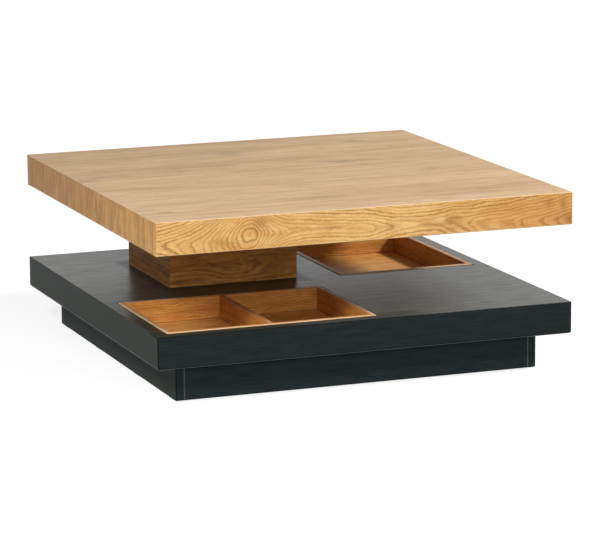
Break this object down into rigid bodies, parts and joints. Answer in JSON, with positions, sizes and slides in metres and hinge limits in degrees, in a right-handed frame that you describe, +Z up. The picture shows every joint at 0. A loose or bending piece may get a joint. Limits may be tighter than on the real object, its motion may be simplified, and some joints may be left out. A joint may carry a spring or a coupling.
{
  "type": "swivel coffee table",
  "caption": "Square coffee table whose thick oak top turns on an off-centre neck above a black slab with sunk oak trays on a set-back plinth.",
  "frame": {"origin": "on the floor, under the middle of the square top and base slab, which are in line at rest", "axes": "+Z up; -Y towards the side with the divided tray; +X to the right seen from there, away from the neck"},
  "size_m": [0.8, 0.8, 0.335],
  "materials": {
    "oak_top": "satin oak veneer, grain along X",
    "oak_edge": "satin oak veneer with bold ring figure",
    "oak_underside": "plain oak-coloured balancing sheet",
    "oak_neck": "satin oak veneer, level grain",
    "oak_tray": "satin oak veneer, stained warmer",
    "oak_rim": "satin pale oak edge band",
    "black_slab": "anthracite structured finish, satin",
    "black_plinth": "anthracite structured finish, satin",
    "raw_board": "raw particle board",
    "beech_wood": "planed beech",
    "paper_core": "kraft paper",
    "swivel_steel": "zinc plated sheet",
    "roller_steel": "polished",
    "zinc_plated_steel": "zinc plated",
    "cage_plastic": "natural nylon",
    "pad_felt": "pressed felt"
  },
  "bodies": {
    "base": {"back_tray_back_wall": "oak_tray", "back_tray_floor": "oak_tray", "back_tray_front_rib": "raw_board", "back_tray_front_wall": "oak_tray", "back_tray_left_wall": "oak_tray", "back_tray_right_wall": "oak_tray", "back_tray_rim_band": "oak_rim", "back_tray_side_rib": "raw_board", "base_back_edge_board": "black_slab", "base_floor_board": "black_slab", "base_front_edge_board": "black_slab", "base_left_edge_board": "black_slab", "base_right_edge_board": "black_slab", "base_upper_skin": "black_slab", "front_tray_back_rib": "raw_board", "front_tray_back_wall": "oak_tray", "front_tray_divider": "oak_tray", "front_tray_floor": "oak_tray", "front_tray_front_wall": "oak_tray", "front_tray_left_wall": "oak_tray", "front_tray_right_wall": "oak_tray", "front_tray_rim_band": "oak_rim", "front_tray_side_rib": "raw_board", "neck_back_board": "oak_neck", "neck_bolts": "zinc_plated_steel", "neck_corner_posts": "beech_wood", "neck_cover_board": "raw_board", "neck_front_board": "oak_neck", "neck_left_board": "oak_neck", "neck_left_rib": "raw_board", "neck_right_board": "oak_neck", "neck_right_rib": "raw_board", "plinth_back_board": "black_plinth", "plinth_brace": "black_plinth", "plinth_corner_blocks": "beech_wood", "plinth_floor_pads": "pad_felt", "plinth_front_board": "black_plinth", "plinth_left_board": "black_plinth", "plinth_right_board": "black_plinth", "swivel_lower_plate": "swivel_steel", "swivel_lower_screws": "zinc_plated_steel"},
    "top": {"top_veneer_sheet": "oak_top", "top_upper_skin": "raw_board", "top_lower_skin": "oak_underside", "top_front_edge_board": "oak_edge", "top_back_edge_board": "oak_edge", "top_left_edge_board": "oak_edge", "top_right_edge_board": "oak_edge", "top_honeycomb_core": "paper_core", "top_swivel_block": "raw_board", "swivel_upper_plate": "swivel_steel", "swivel_upper_screws": "zinc_plated_steel", "swivel_pivot_bolt": "zinc_plated_steel", "swivel_pivot_washer": "zinc_plated_steel", "swivel_pivot_nut": "zinc_plated_steel"},
    "roller_cage": {"swivel_roller_cage": "cage_plastic", "swivel_rollers": "roller_steel"}
  },
  "joints": [
    {"name": "top_swivel", "type": "hinge", "parent": "base", "child": "top", "pos_m": [-0.114, 0.126, 0.275], "axis": [0, 0, 1], "continuous": true},
    {"name": "cage_roll", "type": "hinge", "parent": "base", "child": "roller_cage", "pos_m": [-0.114, 0.126, 0.2757], "axis": [0, 0, 1], "continuous": true}
  ],
  "couplings": [
    {"joint": "cage_roll", "follows": "top_swivel", "ratio": 0.5}
  ]
}
